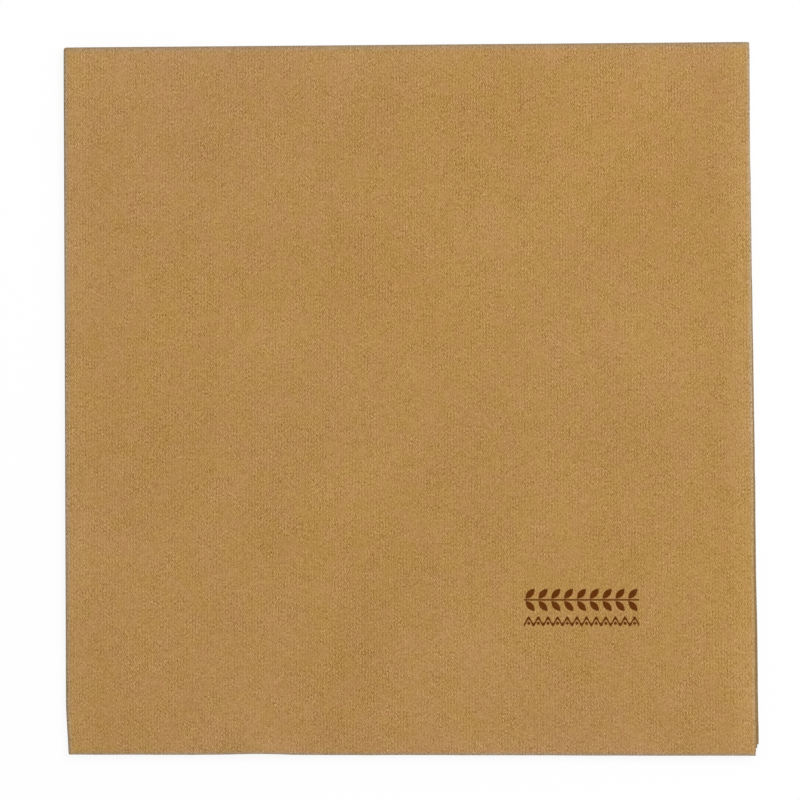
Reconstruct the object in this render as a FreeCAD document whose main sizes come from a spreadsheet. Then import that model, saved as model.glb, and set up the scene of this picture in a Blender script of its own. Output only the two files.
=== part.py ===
import FreeCAD
import Part
import Sketcher
import math
import os

# A paper napkin folded in four, lying flat. Units are mm, +Z is up and the underside is at z = 0.
# The sheet is folded first along its left side, then along its far side (+Y),
# so its four cut edges lie to the right and to the front (-Y).
doc = FreeCAD.newDocument("napkin")

SIZES = {
    "sheet_thick": 0.6,
    "layer_gap": 0.3,
    # From the second fold's outer edge down the left side, and across along the second fold
    "left_length": 202.36,
    "fold_width": 196.16,
    # How far the first fold wanders sideways for each mm from the second fold
    "fold_lean": 0.0046,
    # The free corner of each layer, counted from the top: out past fold_width, and down from the far edge
    "corner_out_1": 0.22,
    "corner_down_1": 204.25,
    "corner_out_2": 0.40,
    "corner_down_2": 202.97,
    "corner_out_3": 0.81,
    "corner_down_3": 202.11,
    "corner_out_4": 1.27,
    "corner_down_4": 201.12,
}
# Sizes that follow from the ones above
DERIVED = {
    "layer_pitch": "=sheet_thick + layer_gap",
    "first_radius": "=sheet_thick + layer_gap / 2",
    "second_radius": "=2 * sheet_thick + 1.5 * layer_gap",
    # Sheet that is drawn past its cut lines and then trimmed off
    "trim_margin": "=2 * max(corner_out_4; abs(corner_down_1 - left_length))",
}
LAYERS = 4

# How a sketch constraint names a line's ends, an arc's centre, and the sketch's own origin and X axis
START, END, CENTRE = 1, 2, 3
ORIGIN = (-1, 1)
X_AXIS = -1

sheet = doc.addObject("Spreadsheet::Sheet", "sizes")
for row, (alias, value) in enumerate({**SIZES, **DERIVED}.items(), 1):
    sheet.set("A%d" % row, alias)
    sheet.set("B%d" % row, str(value))
    sheet.setAlias("B%d" % row, alias)
doc.recompute()

napkin = doc.addObject("PartDesign::Body", "napkin")
napkin.Label = "napkin"


def size(alias):
    return float(sheet.get(alias))


def plane(role):
    return next(f for f in napkin.Origin.OriginFeatures if f.Role == role)


def new_sketch(name, role, height):
    """A sketch on one of the body's planes, moved up to a height given as an expression."""
    sketch = napkin.newObject("Sketcher::SketchObject", name)
    sketch.AttachmentSupport = [(plane(role), "")]
    sketch.MapMode = "FlatFace"
    up = "y" if role == "XZ_Plane" else "z"
    sketch.setExpression("AttachmentOffset.Base." + up, height)
    return sketch


def bind(sketch, kind, where, name, expression, value):
    """One dimension of a sketch, tied to the spreadsheet."""
    index = sketch.addConstraint(Sketcher.Constraint(kind, *where, value))
    sketch.renameConstraint(index, name)
    sketch.setExpression("Constraints." + name, expression)


def half_section(name, side):
    """Two layers joined by the round first fold, above (side 1) or below (side -1) the second fold's axis."""
    sketch = new_sketch(name, "XZ_Plane", "sizes.second_radius")
    inner, outer = size("layer_gap") / 2, size("first_radius")
    middle = side * size("layer_pitch")
    right = size("fold_width") + size("trim_margin")
    centre = FreeCAD.Vector(outer, middle, 0)

    def line(x0, y0, x1, y1):
        return Part.LineSegment(FreeCAD.Vector(x0, y0, 0), FreeCAD.Vector(x1, y1, 0))

    def turn(radius):
        circle = Part.Circle(centre, FreeCAD.Vector(0, 0, 1), radius)
        return Part.ArcOfCircle(circle, math.pi / 2, 3 * math.pi / 2)

    under, lower_end, slot_floor, inner_turn, slot_roof, upper_end, crown, outer_turn = range(8)
    sketch.addGeometry(
        [
            line(outer, middle - outer, right, middle - outer),
            line(right, middle - outer, right, middle - inner),
            line(right, middle - inner, outer, middle - inner),
            turn(inner),
            line(outer, middle + inner, right, middle + inner),
            line(right, middle + inner, right, middle + outer),
            line(right, middle + outer, outer, middle + outer),
            turn(outer),
        ],
        False,
    )
    sketch.addConstraint(
        [
            Sketcher.Constraint("Horizontal", under),
            Sketcher.Constraint("Horizontal", slot_roof),
            Sketcher.Constraint("Vertical", lower_end),
            Sketcher.Constraint("Vertical", upper_end),
            Sketcher.Constraint("Coincident", under, END, lower_end, START),
            Sketcher.Constraint("Coincident", lower_end, END, slot_floor, START),
            Sketcher.Constraint("Coincident", slot_roof, END, upper_end, START),
            Sketcher.Constraint("Coincident", upper_end, END, crown, START),
            Sketcher.Constraint("Tangent", slot_floor, END, inner_turn, END),
            Sketcher.Constraint("Tangent", slot_roof, START, inner_turn, START),
            Sketcher.Constraint("Tangent", crown, END, outer_turn, START),
            Sketcher.Constraint("Tangent", under, START, outer_turn, END),
            Sketcher.Constraint("Horizontal", slot_floor),
            Sketcher.Constraint("Horizontal", crown),
            Sketcher.Constraint("Coincident", inner_turn, CENTRE, outer_turn, CENTRE),
            Sketcher.Constraint("Vertical", lower_end, START, upper_end, START),
        ]
    )
    bind(sketch, "Radius", (inner_turn,), "slot", "sizes.layer_gap / 2", inner)
    bind(sketch, "Radius", (outer_turn,), "fold", "sizes.first_radius", outer)
    bind(sketch, "DistanceX", (*ORIGIN, outer_turn, CENTRE), "left", "sizes.first_radius", outer)
    ends = (*ORIGIN, outer_turn, CENTRE) if side > 0 else (outer_turn, CENTRE, *ORIGIN)
    bind(sketch, "DistanceY", ends, "pitch", "sizes.layer_pitch", abs(middle))
    bind(sketch, "DistanceX", (*ORIGIN, under, END), "right", "sizes.fold_width + sizes.trim_margin", right)
    return sketch


def half(name, section, side):
    """A folded pair of layers running forward from the second fold, leaning as the first fold does."""
    pad = napkin.newObject("PartDesign::Pad", name)
    pad.Profile = section
    pad.UseCustomVector = True
    pad.AlongSketchNormal = True
    pad.Direction = FreeCAD.Vector(0, -1, 0)
    pad.setExpression("Direction.x", "%d * sizes.fold_lean" % -side)
    pad.setExpression("Length", "sizes.left_length + sizes.trim_margin")
    return pad


# The second fold: the upper pair of layers carried half a turn over the far side, one loop inside the other
upper_section = half_section("upper_section", 1)
lower_section = half_section("lower_section", -1)
second_fold = napkin.newObject("PartDesign::Revolution", "second_fold")
second_fold.Profile = upper_section
second_fold.ReferenceAxis = (upper_section, ["H_Axis"])
second_fold.Angle = 180
doc.recompute()
# The half turn goes round the far side, away from the layers
if second_fold.Shape.BoundBox.YMax < size("layer_gap"):
    second_fold.Reversed = True

# The two halves that lie on each other; the fold is a little off square, so they spread apart to the front
upper_half = half("upper_half", upper_section, 1)
lower_half = half("lower_half", lower_section, -1)


def trim(layer):
    """Cut one layer, counted from the top, along its own right and front edges."""
    side = 1 if layer <= LAYERS / 2 else -1
    height = "%d * sizes.layer_pitch - sizes.layer_gap / 2" % (LAYERS + 1 - layer)
    sketch = new_sketch("cut_%d" % layer, "XY_Plane", height)
    width = size("fold_width")
    margin = size("trim_margin")
    radius = size("second_radius")
    front = size("left_length") - radius
    fold_end = size("first_radius") - side * size("fold_lean") * front
    corner = (width + size("corner_out_%d" % layer), radius - size("corner_down_%d" % layer))
    points = [
        (width, margin),
        (width, 0),
        corner,
        (fold_end, -front),
        (-margin, -front),
        (-margin, -front - 2 * margin),
        (width + 2 * margin, -front - 2 * margin),
        (width + 2 * margin, margin),
    ]
    # The lines of the outline, each named for where it runs and starting at the point of the same place above
    past_fold, right_cut, front_cut, past_first, left, near, right, far = range(len(points))
    ends = list(zip(points, points[1:] + points[:1]))
    sketch.addGeometry(
        [Part.LineSegment(FreeCAD.Vector(*a, 0), FreeCAD.Vector(*b, 0)) for a, b in ends], False
    )
    for line in range(len(points)):
        following = (line + 1) % len(points)
        sketch.addConstraint(Sketcher.Constraint("Coincident", line, END, following, START))
    for line in (past_fold, left, right):
        sketch.addConstraint(Sketcher.Constraint("Vertical", line))
    for line in (past_first, near, far):
        sketch.addConstraint(Sketcher.Constraint("Horizontal", line))
    sketch.addConstraint(Sketcher.Constraint("PointOnObject", right_cut, START, X_AXIS))
    bind(sketch, "DistanceX", (*ORIGIN, right_cut, START), "width", "sizes.fold_width", width)
    bind(
        sketch, "DistanceX", (right_cut, START, front_cut, START), "corner_out",
        "sizes.corner_out_%d" % layer, corner[0] - width,
    )
    bind(
        sketch, "DistanceY", (front_cut, START, *ORIGIN), "corner_down",
        "sizes.corner_down_%d - sizes.second_radius" % layer, -corner[1],
    )
    bind(
        sketch, "DistanceY", (past_first, START, *ORIGIN), "front",
        "sizes.left_length - sizes.second_radius", front,
    )
    bind(
        sketch, "DistanceX", (left, START, past_first, START), "fold_end",
        "sizes.trim_margin + sizes.first_radius - %d * sizes.fold_lean"
        " * (sizes.left_length - sizes.second_radius)" % side, margin + fold_end,
    )
    bind(sketch, "DistanceX", (left, START, *ORIGIN), "past_left", "sizes.trim_margin", margin)
    bind(sketch, "DistanceY", (near, START, left, START), "past_front", "2 * sizes.trim_margin", 2 * margin)
    bind(
        sketch, "DistanceX", (past_fold, START, far, START), "past_right",
        "2 * sizes.trim_margin", 2 * margin,
    )
    bind(sketch, "DistanceY", (*ORIGIN, past_fold, START), "past_far", "sizes.trim_margin", margin)
    doc.recompute()
    before = napkin.Tip.Shape.Volume
    pocket = napkin.newObject("PartDesign::Pocket", "trim_%d" % layer)
    pocket.Profile = sketch
    pocket.setExpression("Length", "sizes.layer_pitch")
    doc.recompute()
    if pocket.Shape.Volume >= before:
        raise RuntimeError("trim_%d removes nothing" % layer)


for layer in range(1, LAYERS + 1):
    trim(layer)

# The origin lies under the middle of the napkin's outline
napkin.setExpression(
    "Placement.Base.x",
    "(sizes.fold_lean * (sizes.left_length - sizes.second_radius)"
    " - sizes.fold_width - sizes.corner_out_4) / 2",
)
napkin.setExpression("Placement.Base.y", "sizes.corner_down_1 / 2 - sizes.second_radius")
doc.recompute()

for item in doc.Objects:
    if "Invalid" in item.State or "Error" in item.State:
        raise RuntimeError("%s: %s" % (item.Name, item.State))
if napkin.Shape.isNull() or not napkin.Shape.isValid() or len(napkin.Shape.Solids) != 1:
    raise RuntimeError("the napkin is not one valid solid")

os.makedirs("parts", exist_ok=True)
napkin.Shape.exportStep("parts/napkin.step")
box = napkin.Shape.BoundBox
print("napkin volume %.1f mm3, box %s" % (napkin.Shape.Volume, box))
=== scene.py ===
import bpy
import math
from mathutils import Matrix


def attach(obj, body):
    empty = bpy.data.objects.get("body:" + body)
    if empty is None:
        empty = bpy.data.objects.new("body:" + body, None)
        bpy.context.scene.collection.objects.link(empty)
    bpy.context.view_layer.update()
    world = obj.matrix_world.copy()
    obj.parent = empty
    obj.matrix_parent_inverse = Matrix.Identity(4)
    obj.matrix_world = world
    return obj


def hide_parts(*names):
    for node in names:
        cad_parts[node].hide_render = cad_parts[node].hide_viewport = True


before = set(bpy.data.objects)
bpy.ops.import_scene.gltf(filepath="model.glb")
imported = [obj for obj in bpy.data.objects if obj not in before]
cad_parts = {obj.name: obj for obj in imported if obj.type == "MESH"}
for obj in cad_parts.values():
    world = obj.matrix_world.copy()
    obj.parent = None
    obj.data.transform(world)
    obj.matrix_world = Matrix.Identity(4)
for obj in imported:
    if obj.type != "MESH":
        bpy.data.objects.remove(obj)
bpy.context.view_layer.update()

# Where the napkin is seen from.
# The photograph looks straight down from far off, with the napkin turned a little
# anticlockwise, so the camera is turned as much the other way.
seen_width = 0.2289
seen_centre = (-0.00278, 0.0004)
napkin_turn = math.radians(0.468)
napkin_top = 0.0035
camera_height = 2.0
sensor_width = 36
camera = bpy.data.objects.new("camera", bpy.data.cameras.new("camera"))
camera.data.sensor_width = sensor_width
camera.data.lens = sensor_width * camera_height / seen_width
camera.location = (*seen_centre, camera_height + napkin_top)
camera.rotation_euler = (0, 0, -napkin_turn)
camera.data.clip_end = 10
bpy.context.scene.collection.objects.link(camera)
bpy.context.scene.camera = camera
bpy.context.scene.view_settings.view_transform = "Standard"

# The table and the light.
# A plain white table top, a wide soft lamp high up to the right of the napkin's far edge
# and an even sky give the photograph's flat light, a little brighter at the top right.


class Wire:
    """An output socket that sums and products can be written with."""

    def __init__(self, board, socket):
        self.board = board
        self.socket = socket

    def math(self, operation, *values):
        return self.board.node("ShaderNodeMath", {"operation": operation}, *values)

    def __add__(self, other):
        return self.math("ADD", self, other)

    def __radd__(self, other):
        return self.math("ADD", other, self)

    def __sub__(self, other):
        return self.math("SUBTRACT", self, other)

    def __rsub__(self, other):
        return self.math("SUBTRACT", other, self)

    def __mul__(self, other):
        return self.math("MULTIPLY", self, other)

    def __rmul__(self, other):
        return self.math("MULTIPLY", other, self)

    def __truediv__(self, other):
        return self.math("DIVIDE", self, other)

    def __rtruediv__(self, other):
        return self.math("DIVIDE", other, self)

    def __neg__(self):
        return self.math("MULTIPLY", self, -1)

    def __pow__(self, other):
        return self.math("POWER", self, other)

    def __rpow__(self, other):
        return self.math("POWER", other, self)

    def __gt__(self, other):
        return self.math("GREATER_THAN", self, other)

    def clear(self, low, high):
        """0 below low, 1 above high and smooth between; turned round where low is above high."""
        return self.board.node(
            "ShaderNodeMapRange", {"interpolation_type": "SMOOTHSTEP"}, self, low, high, 0, 1
        )

    def other(self, name):
        """Another output of the same node."""
        return Wire(self.board, self.socket.node.outputs[name])


class Board:
    """A node tree with one way to add a node."""

    def __init__(self, tree):
        self.tree = tree

    def node(self, kind, settings, *values, out=0, **named):
        """Add a node: its settings first, then a value or a link for each socket, by place or by name."""
        made = self.tree.nodes.new(kind)
        for name, value in settings.items():
            setattr(made, name, value)
        sockets = [s for s in made.inputs if s.enabled]
        for key, value in [*enumerate(values), *named.items()]:
            if isinstance(key, int):
                target = sockets[key]
            else:
                label = key.replace("_", " ").lower()
                target = next(s for s in sockets if s.name.lower() == label)
            if isinstance(value, Wire):
                self.tree.links.new(value.socket, target)
            else:
                target.default_value = value
        outs = [s for s in made.outputs if s.enabled]
        if not outs:
            return made
        return Wire(self, outs[out] if isinstance(out, int) else made.outputs[out])


table = bpy.data.meshes.new("table")
half_table = 5.0
below_napkin = 0.0001
table.from_pydata(
    [(-half_table, -half_table, 0), (half_table, -half_table, 0),
     (half_table, half_table, 0), (-half_table, half_table, 0)],
    [], [(0, 1, 2, 3)],
)
floor = bpy.data.objects.new("table", table)
floor.location.z = -below_napkin
bpy.context.scene.collection.objects.link(floor)
white_top = bpy.data.materials.new("white_top")
white_top.use_nodes = True
white_top.node_tree.nodes.clear()
board = Board(white_top.node_tree)
ray = board.node("ShaderNodeLightPath", {}, out="Is Camera Ray")
seen = ray.math("MAXIMUM", ray, ray.other("Is Glossy Ray"))
seen = seen.math("MAXIMUM", seen, ray.other("Is Transmission Ray"))
# The table glows white where it is seen, and throws a duller white back at the napkin.
white = (1, 1, 1, 1)
dull_white = (0.62, 0.62, 0.62, 1)
share_of_glow = 0.90
tone = board.node("ShaderNodeMix", {"data_type": "RGBA"}, seen, dull_white, white)
matt = board.node("ShaderNodeBsdfDiffuse", {}, tone)
glow = board.node("ShaderNodeEmission", {}, white, 1.0)
lit = board.node("ShaderNodeMixShader", {}, seen * share_of_glow, matt, glow)
board.node("ShaderNodeOutputMaterial", {}, lit)
table.materials.append(white_top)

world = bpy.data.worlds.new("sky")
bpy.context.scene.world = world
world.use_nodes = True
world.node_tree.nodes["Background"].inputs["Color"].default_value = white
world.node_tree.nodes["Background"].inputs["Strength"].default_value = 0.50
lamp = bpy.data.lights.new("soft_lamp", "AREA")
lamp.shape = "DISK"
lamp.size = 0.7
lamp.energy = 7.2
lamp_object = bpy.data.objects.new("soft_lamp", lamp)
lamp_object.location = (0.36, 0.30, 1.0)
lamp_object.rotation_euler = (math.radians(-16.7), math.radians(19.0), 0)
bpy.context.scene.collection.objects.link(lamp_object)

# The folded sheet.
# One nearly square piece of soft airlaid paper, folded along its left side and then along its far side,
# so that four layers lie on each other, nested at the far fold and stepped at the loose corner.
sheet_sizes = {
    "Thickness": 0.0006,
    "Gap": 0.0003,
    "Left length": 0.20236,
    "Fold width": 0.19616,
    "Lean": 0.0046,
    # The loose corner of each layer from the top: out past the fold's width, and down from the far edge
    "Out 1": 0.00022,
    "Down 1": 0.20425,
    "Out 2": 0.00040,
    "Down 2": 0.20297,
    "Out 3": 0.00081,
    "Down 3": 0.20211,
    "Out 4": 0.00127,
    "Down 4": 0.20112,
    # How far the layers stand off each other beside the folds, at the loose corner and along the cuts
    "First rise": 0.00035,
    "Second rise": 0.00055,
    "Rise distance": 0.011,
    "Unevenness": 0.10,
    "Corner lift": 0.00024,
    "Flutter": 0.00026,
}
# Steps of the mesh from the crossing of the folds to a cut edge, and how many of them go round the fold
steps = 98
turn_steps = 9


def folded_twice(name, sizes, paper):
    """A tree that lays a flat slab of faces out as a sheet folded twice."""
    tree = bpy.data.node_groups.new(name, "GeometryNodeTree")
    tree.interface.new_socket("Sheet", in_out="OUTPUT", socket_type="NodeSocketGeometry")
    for label in sizes:
        tree.interface.new_socket(label, in_out="INPUT", socket_type="NodeSocketFloat")
    board = Board(tree)
    given = board.node("NodeGroupInput", {})
    thick, gap, left, width, lean = (
        given.other(k) for k in ("Thickness", "Gap", "Left length", "Fold width", "Lean")
    )
    pitch = thick + gap
    first_radius = thick + gap / 2
    second_radius = thick * 2 + gap * 1.5

    slab = board.node("GeometryNodeMeshCube", {}, (1, 1, 1), 2 * steps + 1, 2 * steps + 1, 3)
    place = board.node("GeometryNodeInputPosition", {})
    axis = board.node("ShaderNodeSeparateXYZ", {}, place)
    across, along, depth = axis, axis.other("Y"), axis.other("Z")

    def turn_and_run(side):
        """How far round its fold a point is, and what share of the flat part it has passed."""
        step = side.math("ABSOLUTE", side) * (2 * steps)
        way = side.math("SIGN", side)
        turned = step.math("MINIMUM", step / turn_steps, 1) * (math.pi / 2) * way
        run = step.math("MAXIMUM", step - turn_steps, 0) / (steps - turn_steps)
        return turned, run * run * (3 - 2 * run)

    first_turn, run_x = turn_and_run(across)
    second_turn, run_y = turn_and_run(along)
    outer = across > 0
    upper = along > 0

    def by_layer(label):
        one, two, three, four = (given.other("%s %d" % (label, k)) for k in (1, 2, 3, 4))
        return upper * (outer * one + (1 - outer) * two) + (1 - upper) * (
            outer * four + (1 - outer) * three
        )

    front = left - second_radius
    drift = front * lean * (1 - 2 * upper)
    corner_out = by_layer("Out")
    corner_down = by_layer("Down") - second_radius
    far_x = first_radius * (1 - run_x) + width * run_x
    near_x = (first_radius + drift) * (1 - run_x) + (width + corner_out) * run_x
    flat_x = far_x * (1 - run_y) + near_x * run_y
    flat_y = -(front * (1 - run_x) + corner_down * run_x) * run_y

    # The knife leaves the cut edges thinner than the sheet, and a little fuller in the middle.
    crimp_share, crimp_reach, fullness = 0.3, 0.0005, 0.0003
    to_side = (1 - run_x) * width
    to_front = (1 - run_y) * left
    to_cut = to_side.math("MINIMUM", to_side, to_front)
    crimp = 1 - crimp_share * to_cut.math("EXPONENT", to_cut / -crimp_reach)
    reach = thick * depth * crimp
    bulge = (0.25 - depth * depth) * fullness

    radius = pitch / 2 + reach
    first_x = -(radius * first_turn.math("COSINE", first_turn))
    second = pitch + radius * first_turn.math("SINE", first_turn)
    second_y = second * second_turn.math("COSINE", second_turn)
    second_z = second * second_turn.math("SINE", second_turn)

    # The layers stand off each other beside a fold and settle together away from it.
    def rise(distance):
        share = distance / given.other("Rise distance")
        return share * share.math("EXPONENT", 1 - share)

    level = second_turn.math("SINE", second_turn)
    past_first = (flat_x - first_radius).math("MAXIMUM", flat_x - first_radius, 0)
    first_lift = given.other("First rise") * rise(past_first) * (1 + outer * level)
    second_lift = given.other("Second rise") * rise(-flat_y) * upper
    height = second_z + second_radius + first_lift + second_lift

    # The layers open a little at the loose corner, and none lies quite flat along its cut edges.
    layers_below = upper * (2 + outer) + (1 - upper) * (1 - outer)
    loose = run_x.clear(0.45, 1.0) * run_y.clear(0.45, 1.0)
    height = height + given.other("Corner lift") * layers_below * loose
    flat_spot = board.node("ShaderNodeCombineXYZ", {}, flat_x, flat_y, 0)
    flutter = board.node(
        "ShaderNodeTexNoise", {"noise_dimensions": "4D"},
        Vector=flat_spot, W=layers_below * 2.3, Scale=38.0, Detail=2.0, Roughness=0.5,
    )
    by_edge = run_x.math("MAXIMUM", run_x.clear(0.5, 1.0) * run_y, run_y.clear(0.5, 1.0) * run_x)
    height = height + (flutter - 0.5) * given.other("Flutter") * by_edge * (layers_below > 0)

    cut_end = 0.9999
    x = flat_x + first_x + bulge * (run_x > cut_end)
    y = flat_y + second_y - bulge * (run_y > cut_end)

    # The near end of the first fold is pushed in, and one soft wave lifts the front edge.
    pushed_in, pushed_length = 0.0007, 0.016
    end = (-y).clear(front - pushed_length, front + 0.002)
    x = x + end * (pushed_in * (1 - run_x) ** 8) * upper
    spot = board.node("ShaderNodeCombineXYZ", {}, x, y, 0)
    wave_place, wave_width, wave_depth = 0.0540, 0.0085, 0.03
    top_lift, next_lift, drawn_back = 0.0011, 0.0006, 0.00030
    wave = (x - wave_place) / wave_width
    wave = wave.math("EXPONENT", -(wave * wave)) * (-y).clear(front - wave_depth, front)
    height = height + wave * (top_lift * outer + next_lift * (1 - outer)) * upper
    y = y + wave * drawn_back * upper

    # No layer is quite even, and the cut lines wander a little.
    rough = board.node(
        "ShaderNodeTexNoise", {"noise_dimensions": "4D"},
        Vector=spot, W=3.7, Scale=14.0, Detail=2.0, Roughness=0.45,
    )
    height = height * (1 + given.other("Unevenness") * (rough - 0.5) * 2)
    ripple = board.node(
        "ShaderNodeTexNoise", {"noise_dimensions": "4D"},
        Vector=spot, W=8.1, Scale=55.0, Detail=3.0, Roughness=0.6,
    )
    side_wander, front_wander = 0.0005, 0.0004
    x = x + (ripple - 0.5) * side_wander * run_x ** 6
    y = y + (ripple.other("Color") - 0.5) * front_wander * run_y ** 6

    box_left = (front * lean - width - given.other("Out 4")) / 2
    box_front = given.other("Down 1") / 2 - second_radius
    where = board.node("ShaderNodeCombineXYZ", {}, x + box_left, y + box_front, height)

    # Each face knows its place on the flat sheet, in metres from where the two folds cross,
    # and how far it is from either cut edge and from the middle of the sheet's thickness.
    middle_radius = pitch + pitch / 2 * first_turn.math("SINE", first_turn)
    sheet_x = run_x * (width - first_radius) * across.math("SIGN", across) + first_turn * pitch / 2
    sheet_y = run_y * front * along.math("SIGN", along) + second_turn * middle_radius
    flat_place = board.node("ShaderNodeCombineXYZ", {}, sheet_x, sheet_y, 0)
    rims = board.node("ShaderNodeCombineXYZ", {}, to_side, to_front, thick * depth)
    kept = board.node(
        "GeometryNodeStoreNamedAttribute", {"data_type": "FLOAT2", "domain": "CORNER"},
        slab, Name="flat_sheet", Value=flat_place,
    )
    kept = board.node(
        "GeometryNodeStoreNamedAttribute", {"data_type": "FLOAT_VECTOR", "domain": "POINT"},
        kept, Name="rims", Value=rims,
    )
    laid = board.node("GeometryNodeSetPosition", {}, kept, Position=where)
    laid = board.node("GeometryNodeFlipFaces", {}, laid)
    sharp_bend = 0.6
    bend = board.node("GeometryNodeInputMeshEdgeAngle", {})
    smooth = board.node("GeometryNodeSetShadeSmooth", {"domain": "FACE"}, laid)
    smooth = board.node(
        "GeometryNodeSetShadeSmooth", {"domain": "EDGE"},
        smooth, Selection=bend > sharp_bend, Shade_Smooth=False,
    )
    done = board.node("GeometryNodeSetMaterial", {}, smooth, Material=paper)
    board.node("NodeGroupOutput", {}, done)
    return tree


def embossing(u, v, noise):
    """A lattice of pits in ribs, and how hard each place was pressed; u and v are mm on the flat sheet."""
    # Every second rib is shifted by half a pit, the pits are narrow across their rib,
    # and the lattice lies a little askew to the sheet's edges.
    rib_pitch, pit_pitch = 0.846, 1.153
    askew = 0.0042
    wander = (noise(0.32, 2.0, 0.5, 1.3) - 0.5) * 0.6
    rib_phase = (u + v * askew + wander) * (math.pi / rib_pitch)
    ribs = u.math("COSINE", rib_phase * 2)
    rows = u.math("COSINE", rib_phase) * 0.60 + u.math("COSINE", rib_phase * 3) * 1.25
    pits = v.math("COSINE", (v - u * askew + wander) * (2 * math.pi / pit_pitch)) * rows
    press = noise(0.22, 2.0, 0.6, 6.2).clear(0.30, 0.70) * 0.85 + 0.15
    return (ribs * 0.82 + pits) * press, press


def print_shape(u, v):
    """Where ink lies, in mm on the flat sheet: a garland of paired leaves over a wavy thread with dots."""
    print_left, print_width = 130.5, 32.9
    garland_line, beads_line = 158.7, 164.8
    leaf_pitch, bead_pitch = print_width / 9, print_width / 12
    along_print = u - print_left
    in_print = along_print.clear(-0.1, 0.1) * along_print.clear(print_width + 0.1, print_width - 0.1)

    leaf_centre, half_length, half_width = 1.75, 1.95, 0.92
    slant = math.radians(48)
    cell = along_print / leaf_pitch
    leaf_x = (cell.math("FRACT", cell) - 0.5) * leaf_pitch
    off_stem = v.math("ABSOLUTE", v - garland_line)
    length_way = leaf_x * math.cos(slant) + (off_stem - leaf_centre) * math.sin(slant)
    width_way = (off_stem - leaf_centre) * math.cos(slant) - leaf_x * math.sin(slant)
    leaf_edge = half_width * (1 - (length_way / half_length) ** 2)
    leaves = (leaf_edge - width_way.math("ABSOLUTE", width_way)).clear(-0.10, 0.12)
    stem = off_stem.clear(0.32, 0.14)
    garland = leaves.math("MAXIMUM", leaves, stem) * off_stem.clear(3.6, 3.5)

    swing, dot_below = 0.95, 0.55
    bead = along_print / bead_pitch
    thread_off = (v - beads_line) - bead.math("COSINE", bead * (2 * math.pi)) * swing
    thread = thread_off.math("ABSOLUTE", thread_off).clear(0.62, 0.36)
    bead_x = (bead.math("FRACT", bead) - 0.5) * bead_pitch
    dot_off = bead_x ** 2 + (v - beads_line - dot_below) ** 2
    beads = thread.math("MAXIMUM", thread, dot_off.clear(0.30, 0.12))
    return garland.math("MAXIMUM", garland, beads) * in_print


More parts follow.
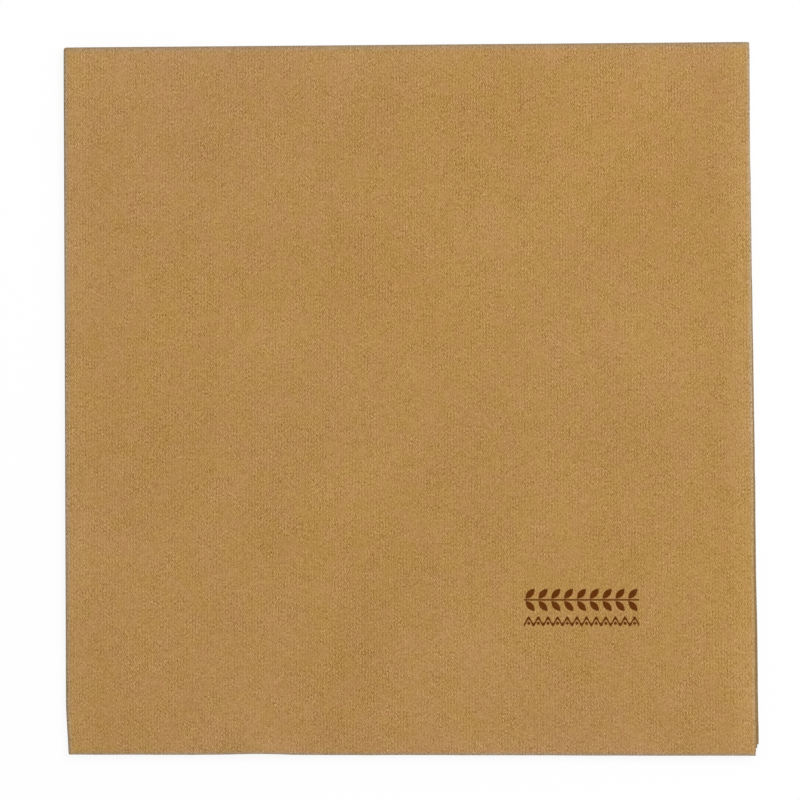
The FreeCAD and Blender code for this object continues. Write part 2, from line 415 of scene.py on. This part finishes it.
def kraft_airlaid():
    """Brown airlaid paper: cloudy fibres, an embossed lattice of small pits and a print in one corner."""
    paper = bpy.data.materials.new("kraft_airlaid")
    paper.use_nodes = True
    paper.node_tree.nodes.clear()
    board = Board(paper.node_tree)
    place = board.node("ShaderNodeUVMap", {"uv_map": "flat_sheet"})
    axis = board.node("ShaderNodeSeparateXYZ", {}, place)
    rims = board.node(
        "ShaderNodeAttribute", {"attribute_type": "GEOMETRY", "attribute_name": "rims"}, out="Vector"
    )
    rim_axis = board.node("ShaderNodeSeparateXYZ", {}, rims)
    to_side, to_front, outward = rim_axis * 1000, rim_axis.other("Y") * 1000, rim_axis.other("Z") * 1000
    u, v = axis * 1000, axis.other("Y") * 1000
    mm = board.node("ShaderNodeCombineXYZ", {}, u, v, outward)

    def noise(scale, detail, roughness, w, vector=mm):
        return board.node(
            "ShaderNodeTexNoise", {"noise_dimensions": "4D"},
            Vector=vector, W=w, Scale=scale, Detail=detail, Roughness=roughness,
        )

    def stretched(u_scale, v_scale):
        return board.node("ShaderNodeVectorMath", {"operation": "MULTIPLY"}, mm, (u_scale, v_scale, 1))

    def mix(share, a, b, blend="MIX"):
        return board.node("ShaderNodeMix", {"data_type": "RGBA", "blend_type": blend}, share, a, b)

    lattice, press = embossing(u, v, noise)

    # Fibres: cloudy where they fell thickly, and a fine grain of single ones.
    cloud = noise(0.03, 3.0, 0.55, 2.2)
    patch = noise(0.16, 3.0, 0.6, 4.9)
    tuft = noise(0.42, 2.0, 0.6, 3.3)
    fleck = noise(1.1, 3.0, 0.65, 9.4)
    grain = noise(3.3, 2.0, 0.7, 5.5, stretched(1.7, 0.5))
    strand = noise(0.9, 2.0, 0.6, 7.7, stretched(3.2, 0.8))

    ochre = (0.457, 0.260, 0.076, 1)
    rose = (0.467, 0.249, 0.086, 1)
    tone = mix(patch.clear(0.36, 0.64), ochre, rose)

    # The sheet is paler towards its edges, and lighter still along the first fold and the top layer's side
    # edge, a painted highlight.
    # The folds and the front edge are greyer, partly rubbed and partly painted shade of their rounded
    # edges, more widely at the thicker second fold, the side edge is frayed lighter, and the lower layers
    # are darkened with painted shade where they peep out.
    to_first = u.math("ABSOLUTE", u)
    to_second = v.math("ABSOLUTE", v)
    second_fold_share = 0.62
    to_fold = u.math("MINIMUM", to_first, to_second * second_fold_share)
    to_cut = u.math("MINIMUM", to_side, to_front)
    near = u.math("MINIMUM", to_fold, to_cut)
    dusty = (0.470, 0.300, 0.150, 1)
    tone = mix(near.clear(9.0, 0.5) * 0.12 + near.clear(60, 0) * 0.04, tone, dusty)
    on_top = (u > 0) * (v > 0)
    # Painted highlight: lighter along the first fold and along the top layer's side edge.
    beside = u.math("MINIMUM", to_first, to_side + (1 - on_top) * 20)
    painted_highlight = (0.660, 0.410, 0.140, 1)
    tone = mix(beside.clear(10.0, 2.0) * 0.12, tone, painted_highlight)
    on_face = outward.math("ABSOLUTE", outward).clear(0.20, 0.29)
    # Painted shade: the lower layers' strips along the cut edges are darkened as if in the upper layers'
    # shadow.
    beneath = (1 - on_top) * to_cut.clear(1.6, 1.0) * on_face
    painted_shade = (0.280, 0.172, 0.058, 1)
    tone = mix(beneath * 0.95, tone, painted_shade)
    # Greyer along the folds and the front edge: partly rubbed wear, partly painted shade of the rounded
    # edges.
    shoulder = to_fold.clear(1.8, 0.2) * (0.45 + to_fold.clear(0.0, 0.35) * 0.55)
    front_rim = to_front.clear(1.2, 0.2) * (0.40 + on_face * 0.60)
    rubbed_and_shaded = shoulder.math("MAXIMUM", shoulder, front_rim)
    grey_wear_and_shade = (0.368, 0.280, 0.181, 1)
    tone = mix(rubbed_and_shaded * 0.72, tone, grey_wear_and_shade)
    frayed = to_side.clear(0.30 + on_top, 0.1) * (0.40 + on_top * to_front.clear(20, 130) * 0.60)
    bare_fibre = (0.487, 0.371, 0.234, 1)
    tone = mix(frayed * (0.30 + on_face * 0.45), tone, bare_fibre)

    # Thick fibres are paler, and blue changes most, so that they are greyer too. The embossed lattice is
    # painted in as painted shade of its pits and ribs.
    shade = (
        (cloud - 0.5) * 0.24 + (patch - 0.5) * 0.11 + (tuft - 0.5) * 0.17
        + (fleck - 0.5) * 0.30 + (grain - 0.5) * (1.8 + press * 2.0) + (strand - 0.5) * 0.22
        + lattice * 0.150
    )
    blue = 1 + shade * 1.6 + (noise(0.012, 1.0, 0.5, 8.8) - 0.5) * 0.4
    tint = board.node("ShaderNodeCombineColor", {}, 1 + shade * 0.77, 1 + shade, blue)
    tone = mix(1.0, tone, tint, "MULTIPLY")

    # The print is on the outer face only, and thinner between the fibres.
    ink = print_shape(u, v) * outward.clear(0.1, 0.2)
    ink = ink * (0.99 + (fleck - 0.5) * 0.30 + lattice * 0.05)
    ink = ink.math("MINIMUM", ink.math("MAXIMUM", ink, 0), 1)
    brown_ink = (0.124, 0.029, 0.0005, 1)
    tone = mix(ink, tone, brown_ink)

    # The pits and fibres stand out in low relief, and short wrinkles run across the folds.
    def wrinkles(u_scale, v_scale, w):
        return noise(0.9, 2.0, 0.5, w, stretched(u_scale, v_scale)) - 0.5

    torn = (noise(2.4, 2.0, 0.6, 14.1) - 0.5) * to_cut.clear(0.12, 0.0) * (1 - on_face)
    relief = lattice * 0.026 + (fleck - 0.5) * 0.06 + (grain - 0.5) * 0.05 + (tuft - 0.5) * 0.05
    relief = relief + wrinkles(0.3, 1.0, 11.2) * to_first.clear(3.5, 0.3) * 0.22
    relief = relief + wrinkles(1.0, 0.3, 12.6) * to_second.clear(5.0, 0.5) * 0.22 + torn * 0.30
    bump = board.node("ShaderNodeBump", {}, Strength=1.0, Distance=0.001, Height=relief)
    surface = board.node(
        "ShaderNodeBsdfPrincipled", {}, Base_Color=tone, Roughness=0.86 + (grain - 0.5) * 0.14,
        Specular_IOR_Level=0.05, Sheen_Weight=0.03, Sheen_Roughness=0.6, Normal=bump,
    )
    board.node("ShaderNodeOutputMaterial", {}, surface)
    return paper


airlaid = kraft_airlaid()
napkin = bpy.data.objects.new("folded_sheet", bpy.data.meshes.new("folded_sheet"))
bpy.context.scene.collection.objects.link(napkin)
folding = napkin.modifiers.new("folding", "NODES")
folding.node_group = folded_twice("folded_twice", sheet_sizes, airlaid)
for item in folding.node_group.interface.items_tree:
    if item.in_out == "INPUT":
        folding[item.identifier] = sheet_sizes[item.name]
bpy.context.view_layer.update()
graph = bpy.context.evaluated_depsgraph_get()
made = bpy.data.meshes.new_from_object(
    napkin.evaluated_get(graph), preserve_all_data_layers=True, depsgraph=graph
)
napkin.modifiers.remove(folding)
napkin.data = made
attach(napkin, "root")
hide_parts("napkin")
